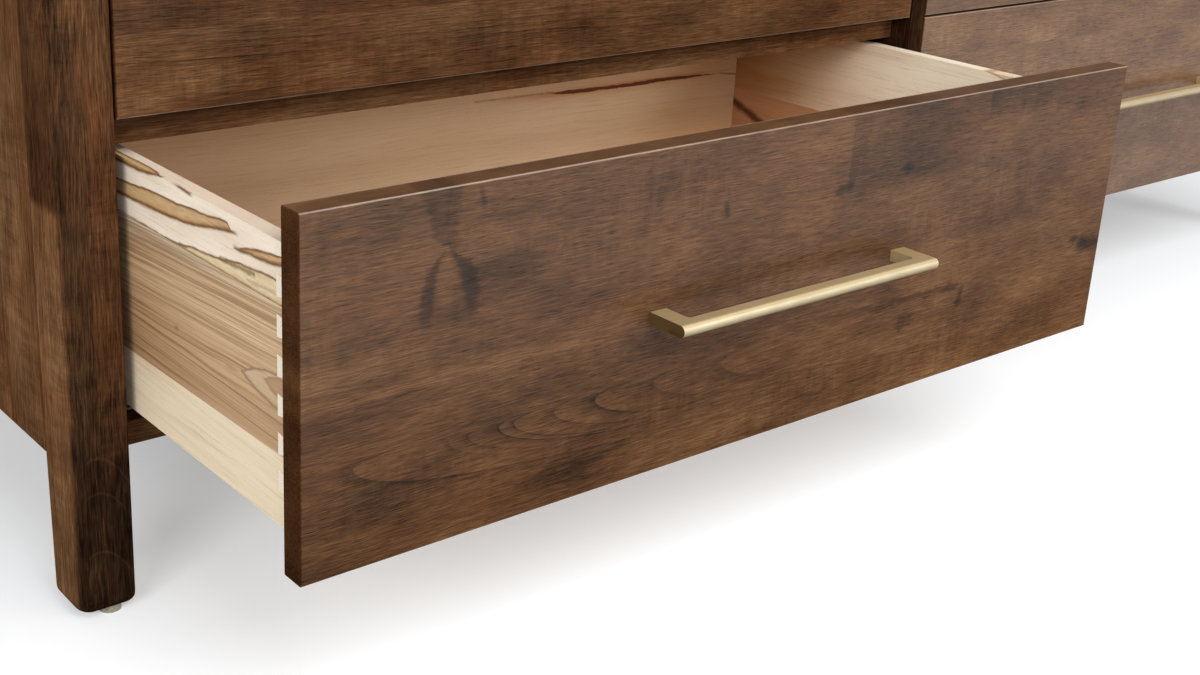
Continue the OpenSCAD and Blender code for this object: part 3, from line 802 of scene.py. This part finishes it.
def piece(name, points, faces, sharp, body):
    """A new smooth piece from an array of points and a list of faces, riding on a body. Edges
    that turn by more than sharp degrees stay sharp."""
    mesh = bpy.data.meshes.new(name)
    mesh.from_pydata(points.tolist(), [], faces)
    mesh.polygons.foreach_set("use_smooth", np.full(len(mesh.polygons), True))
    mesh.set_sharp_from_angle(angle=math.radians(sharp))
    made = bpy.data.objects.new(name, mesh)
    bpy.context.scene.collection.objects.link(made)
    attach(made, body)
    return made


def wrapped(rows, columns, first=0):
    """Faces of a closed tube of rows by columns points, with a flat end face at both ends."""
    row, column = np.meshgrid(np.arange(rows - 1), np.arange(columns), indexing="ij")
    after = (column + 1) % columns
    corners = [row * columns + column, row * columns + after]
    corners += [(row + 1) * columns + after, (row + 1) * columns + column]
    sides = np.stack(corners, -1).reshape(-1, 4) + first
    start = np.arange(columns)[::-1] + first
    end = np.arange(columns) + (rows - 1) * columns + first
    return sides.tolist() + [start.tolist(), end.tolist()]


def post_piece(side):
    """Front post with softly rolled foot edges, that hides half the height of its glide. Each
    level is a rounded rectangle. Near the foot its sides move in, and its corner radii shrink,
    by r minus the root of r squared less s squared, where r is the roll and s how far the level
    lies under r, as a quarter circle does. The depth narrows evenly down the leg."""
    low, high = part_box(f"post_front_{side}")
    turn = np.linspace(0.0, math.pi / 2, QUARTER)
    foot = FOOT_ROLL * (1.0 - np.cos(turn))
    levels = np.concatenate([foot, [LEG_HEIGHT, high.z - low.z + FOOT_DROP]])
    under = np.clip(FOOT_ROLL - levels, 0.0, None)
    shrink = FOOT_ROLL - np.sqrt(FOOT_ROLL**2 - under**2)
    narrower = np.clip((LEG_HEIGHT - levels) / (LEG_HEIGHT - FOOT_ROLL), 0.0, 1.0)
    back = high.y - LEG_TAPER * narrower
    radii = [INNER_CORNER] * 4
    radii[0 if side == "left" else 1] = OUTER_CORNER
    rings = []
    for level, less, rear in zip(levels, shrink, back):
        ring = []
        corners = ((low.x, low.y, 1, 1), (high.x, low.y, -1, 1), (high.x, rear, -1, -1),
                   (low.x, rear, 1, -1))
        for count, ((x, y, right, up), radius) in enumerate(zip(corners, radii)):
            corner = max(radius - less, LEAST_CORNER)
            middle = np.array([x + right * (less + corner), y + up * (less + corner)])
            angle = math.pi + count * math.pi / 2 + turn
            ring.append(middle + corner * np.stack([np.cos(angle), np.sin(angle)], -1))
        ring = np.concatenate(ring)
        rings.append(np.column_stack([ring, np.full(len(ring), low.z - FOOT_DROP + level)]))
    faces = wrapped(len(levels), len(radii) * QUARTER)
    made = piece(f"rolled_post_front_{side}", np.concatenate(rings), faces, 40.0, "case")
    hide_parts(f"post_front_{side}")
    return made


def screws(name, body, places, facing):
    """Pan head screws with a cross recess. A head is a low dome whose height falls as the
    distance from its middle grows, both in parts of its radius. Within the recess it drops at
    every fourth spoke and at the middle, which leaves a cross."""
    spokes = np.arange(SPOKES) * 2 * math.pi / SPOKES
    out = np.array([0.12, 0.42, 0.62, 0.88, 1.0, 1.0])
    high = np.array([0.54, 0.58, 0.56, 0.40, 0.20, -0.05])
    dip = np.array([0.40, 0.36, 0.0, 0.0, 0.0, 0.0])
    slot = (np.abs(np.cos(2 * spokes)) > 0.99).astype(float)
    level = high[:, None] - dip[:, None] * slot[None, :]
    level[0] = high[0] - dip[0]
    head = np.stack([out[:, None] * np.cos(spokes), out[:, None] * np.sin(spokes), level], -1)
    head = head.reshape(-1, 3)[::-1] * SCREW_RADIUS
    turned = np.array(Vector(facing).to_track_quat("Z", "Y").to_matrix())
    points = np.concatenate([head @ turned.T + np.array(place) for place in places])
    faces = []
    for count in range(len(places)):
        faces += wrapped(len(out), SPOKES, count * len(head))
    return piece(name, points, faces, 30.0, body)


def dress(node, material):
    """Gives a CAD node its finish."""
    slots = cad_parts[node].data.materials
    slots.clear()
    slots.append(material)


def camera():
    """The photograph's view: a crop of a larger picture, so the lens is shifted."""
    data = bpy.data.cameras.new("view")
    data.lens, data.sensor_width = LENS, SENSOR
    data.shift_x, data.shift_y = SHIFT
    data.clip_start, data.clip_end = CLIP
    made = bpy.data.objects.new("view", data)
    bpy.context.scene.collection.objects.link(made)
    look = (Vector(CAMERA_TO) - Vector(CAMERA_AT)).to_track_quat("-Z", "Y").to_matrix()
    lean = Matrix.Rotation(math.radians(CAMERA_ROLL), 3, "Z")
    made.matrix_world = Matrix.Translation(Vector(CAMERA_AT)) @ (look @ lean).to_4x4()
    bpy.context.scene.camera = made


def softbox(name, at, to, size, watts):
    """A soft lamp at a place, turned to a point."""
    data = bpy.data.lights.new(name, "AREA")
    data.shape = "RECTANGLE"
    data.size, data.size_y = size
    data.energy = watts
    made = bpy.data.objects.new(name, data)
    bpy.context.scene.collection.objects.link(made)
    aim = (Vector(to) - Vector(at)).to_track_quat("-Z", "Y").to_matrix()
    made.matrix_world = Matrix.Translation(Vector(at)) @ aim.to_4x4()


def sky():
    """Even light from all round, white where the camera or a reflection looks into it."""
    world = bpy.data.worlds.new("sky")
    bpy.context.scene.world = world
    world.use_nodes = True
    tree = world.node_tree
    tree.nodes.clear()
    path = tree.nodes.new("ShaderNodeLightPath")
    seen = tree.nodes.new("ShaderNodeMath")
    seen.operation = "MAXIMUM"
    tree.links.new(path.outputs["Is Camera Ray"], seen.inputs[0])
    more = tree.nodes.new("ShaderNodeMath")
    more.operation = "MAXIMUM"
    tree.links.new(path.outputs["Is Glossy Ray"], more.inputs[0])
    tree.links.new(path.outputs["Is Transmission Ray"], more.inputs[1])
    tree.links.new(more.outputs[0], seen.inputs[1])
    strength = tree.nodes.new("ShaderNodeMapRange")
    strength.inputs["To Min"].default_value = SKY
    strength.inputs["To Max"].default_value = 1.0
    tree.links.new(seen.outputs[0], strength.inputs["Value"])
    back = tree.nodes.new("ShaderNodeBackground")
    back.inputs["Color"].default_value = (1.0, 1.0, 1.0, 1.0)
    tree.links.new(strength.outputs[0], back.inputs["Strength"])
    out = tree.nodes.new("ShaderNodeOutputWorld")
    tree.links.new(back.outputs[0], out.inputs["Surface"])


def floor():
    """Plain pale floor. A share of it is its own light, so that it runs into the white."""
    f = Finish("floor")
    path = f.node("LightPath").socket.node
    seen = Wire(f, path.outputs["Is Camera Ray"]).most(Wire(f, path.outputs["Is Glossy Ray"]))
    plain = f.node("BsdfDiffuse", None, {"Color": FLOOR_COLOUR})
    white = f.node("Emission", None, {"Color": (1.0, 1.0, 1.0, 1.0), "Strength": FLOOR_GLOW})
    white = f.node("MixShader", None, {0: seen, 2: white})
    both = f.node("AddShader", None, {0: plain, 1: white})
    f.node("OutputMaterial", None, {"Surface": both})
    mesh = bpy.data.meshes.new("floor")
    turns = ((-1, -1), (1, -1), (1, 1), (-1, 1))
    mesh.from_pydata([(x * FLOOR_HALF, y * FLOOR_HALF, 0) for x, y in turns], [], [(0, 1, 2, 3)])
    mesh.materials.append(f.material)
    made = bpy.data.objects.new("floor", mesh)
    bpy.context.scene.collection.objects.link(made)


# Looks of the case's boards: the axes along, across and through their grain, and the rest
BOARDS = {
    "top_panel": ("xyz", dict(plank=118.0, wear_and_highlight=0.3, sheen=0.3)),
    "side_panel_left": ("zyx", dict(plank=62.0, shade=0.145, contrast=1.5)),
    "side_panel_right": ("zyx", dict(plank=62.0, shade=0.0, contrast=1.5)),
    "bottom_panel": ("xyz", dict(shade=-0.1)),
    "divider": ("zyx", dict(shade=-0.42, warmth=1.0)),
    "post_front_left": ("zxy", dict(shade=-0.15, contrast=1.6, heart=(8.0, -10.0), taper=-0.1,
                                    figure=-0.8, marks=front_post_marks)),
    "post_front_right": ("zxy", dict(shade=-0.12, contrast=1.6, heart=(-90.0, 40.0))),
    "post_back_left": ("zxy", dict(shade=-0.1, heart=(90.0, -40.0))),
    "post_back_right": ("zxy", dict(shade=-0.1, heart=(-90.0, -40.0))),
    "middle_rails": ("xzy", dict(shade=0.07)),
    "top_rails": ("xzy", dict(shade=0.04)),
}
# Looks of the drawer fronts: the open one, and the shut ones of each column
OPEN_FRONT = dict(shade=-0.03, warmth=0.2, sheen=0.35, plank=240.0, joint=6.0, wander=2.0,
                  heart=open_front_heart, taper=0.105, pitch=5.6, rings=open_front_rings,
                  lines=open_front_lines, marks=open_front_marks)
SHUT_FRONTS = {
    "left": dict(shade=-0.08, sheen=0.2, plank=114.0),
    # The right column's shut fronts are painted paler and less warm than the left column's, as
    # painted sheen; their lacquer is stronger as well.
    "right": dict(shade=0.05, warmth=0.0, sheen=0.68, veil=(-400.0, -100.0), plank=114.0),
}
OPEN_BACK = dict(warm=0.38, patches=0.0, marks=open_back_marks)
# Share of paler painted arris on the fronts (partly wear, partly painted highlight), and how wide
# the end grain at the ends of a box's front and back is
FRONT_WEAR_AND_HIGHLIGHT, BOX_SIDE = 0.6, 12.0


def dress_drawer(drawer, column, number, steel):
    """Finishes of one drawer's boards, runners and pull, and the screws inside its front. The
    open one has the photograph's planks, and the others' differ by their number: where the front
    is joined, and how the sides are turned, cut and coloured."""
    seed = float(number)
    look, planks, back = OPEN_FRONT, {}, OPEN_BACK
    if drawer != OPEN_DRAWER:
        look = dict(SHUT_FRONTS[column], joint=20.0 * (number % 5))
        planks = dict(flip=number % 4, shift=number * 41.0 % 90.0, red=number * 0.37 % 0.7)
        back = {}
    node = f"front_{drawer}"
    dress(node, stained(node, "xzy", seed, wear_and_highlight=FRONT_WEAR_AND_HIGHLIGHT, **look))
    node = f"box_sides_{drawer}"
    dress(node, side_boards(node, seed, **planks))
    node = f"box_front_{drawer}"
    dress(node, pale_maple(node, "xzy", seed, pins=BOX_SIDE))
    low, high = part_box(node)
    node = f"box_back_{drawer}"
    dress(node, pale_maple(node, "xzy", seed + 0.5, pins=BOX_SIDE, **back))
    node = f"box_bottom_{drawer}"
    dress(node, veneered(node, "yxz", seed))
    dress(f"drawer_runners_{drawer}", steel)
    node = f"pull_{drawer}"
    dress(node, brushed_brass(node))
    pull = middle_of(node)
    heads = [(pull.x + x, high.y, pull.z) for x in PULL_SCREWS_X]
    heads += [(pull.x + x, high.y, low.z + z) for x in FRONT_SCREWS_X for z in FRONT_SCREWS_Z]
    made = screws(f"front_screws_{drawer}", f"drawer_{drawer}", heads, (0.0, 1.0, 0.0))
    made.data.materials.append(steel)


bpy.context.scene.view_settings.view_transform = "Standard"
camera()
sky()
for name, lamp in LAMPS.items():
    softbox(name, **lamp)
floor()

for number, (node, (order, look)) in enumerate(BOARDS.items(), 1):
    finish = stained(node, order, float(number), **look)
    dress(node, finish)
    if node.startswith("post_front"):
        post_piece(node.split("_")[-1]).data.materials.append(finish)

steel = zinc()
dress("glides", glide_plastic())
dress("case_runners", steel)
dress("runner_supports", pale_maple("runner_supports", "yzx", 40.0, warm=0.2))
dress("back_panel", veneered("back_panel", "zxy", 41.0, fixed=True))
drawers = [(f"{row}_{column}", column) for row in ROWS for column in COLUMNS]
for number, (drawer, column) in enumerate(drawers, len(BOARDS)):
    dress_drawer(drawer, column, number, steel)

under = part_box("bottom_panel")[0].z
heads = [(x, y, under) for x in BOTTOM_SCREWS_X for y in BOTTOM_SCREWS_Y]
screws("bottom_screws", "case", heads, (0.0, 0.0, -1.0)).data.materials.append(steel)
